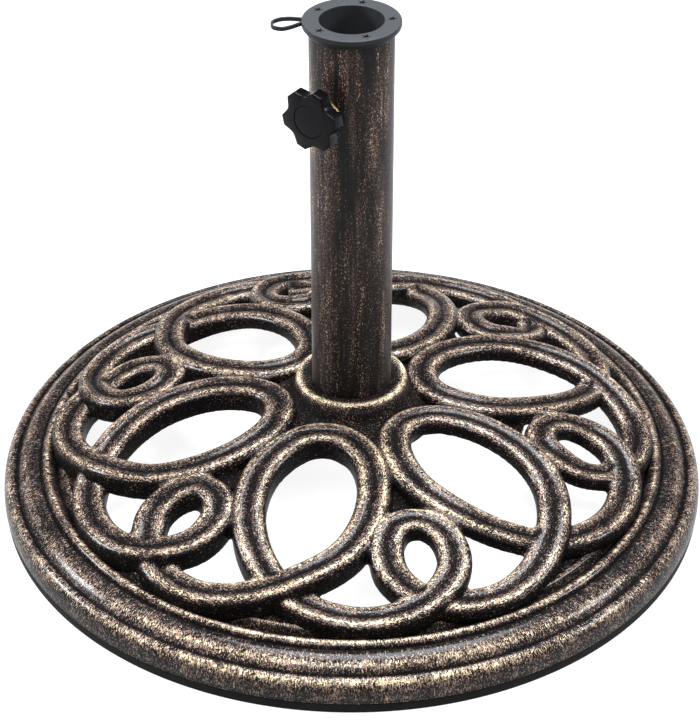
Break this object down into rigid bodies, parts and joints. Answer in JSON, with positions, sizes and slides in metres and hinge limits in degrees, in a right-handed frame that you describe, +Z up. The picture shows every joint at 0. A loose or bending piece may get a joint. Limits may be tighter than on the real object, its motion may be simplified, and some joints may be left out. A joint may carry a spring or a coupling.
{
  "type": "parasol base",
  "caption": "Round cast lattice parasol base with an upright tube, a reducing collar and a screw clamp that grips the pole.",
  "frame": {"origin": "on the floor under the middle of the base", "axes": "+Z up along the pole socket, -Y towards the front, +X to the right seen from the front"},
  "size_m": [0.4572, 0.4572, 0.3325],
  "materials": {
    "antique_bronze_iron": "black enamel with bronze rubbed over the raised edges",
    "antique_bronze_tube": "black enamel with bronze brushed on in upright streaks",
    "mild_steel": "bare",
    "yellow_zinc": "yellow passivated zinc plate",
    "black_plastic": "moulded, satin",
    "black_rubber": "matt",
    "pale_nylon": "satin"
  },
  "bodies": {
    "base": {"base_casting": "antique_bronze_iron", "floor_ring": "black_rubber", "pole_tube": "antique_bronze_tube", "tube_foot_plate": "mild_steel", "hub_bolt": "yellow_zinc", "hub_washer": "yellow_zinc", "spring_washer": "yellow_zinc", "collar_bush": "black_plastic", "weld_nut": "yellow_zinc"},
    "reducer": {"reducer_insert": "black_plastic"},
    "clamp_tip": {"thrust_tip": "pale_nylon"},
    "clamp": {"clamp_knob": "black_plastic", "knob_screw": "yellow_zinc", "knob_cap": "black_plastic"}
  },
  "joints": [
    {"name": "reducer_lift", "type": "slide", "parent": "base", "child": "reducer", "axis": [0, 0, 1], "range_m": [0, 0.06]},
    {"name": "clamp_feed", "type": "slide", "parent": "base", "child": "clamp_tip", "axis": [0.5736, 0.8192, 0], "range_m": [-0.0038, 0.0038]},
    {"name": "knob_turn", "type": "hinge", "parent": "clamp_tip", "child": "clamp", "pos_m": [-0.02294, -0.03277, 0.2845], "axis": [0.5736, 0.8192, 0], "range_deg": [-1080, 1080]}
  ],
  "couplings": [
    {"joint": "clamp_feed", "follows": "knob_turn", "m_per_rad": 0.00019894}
  ]
}
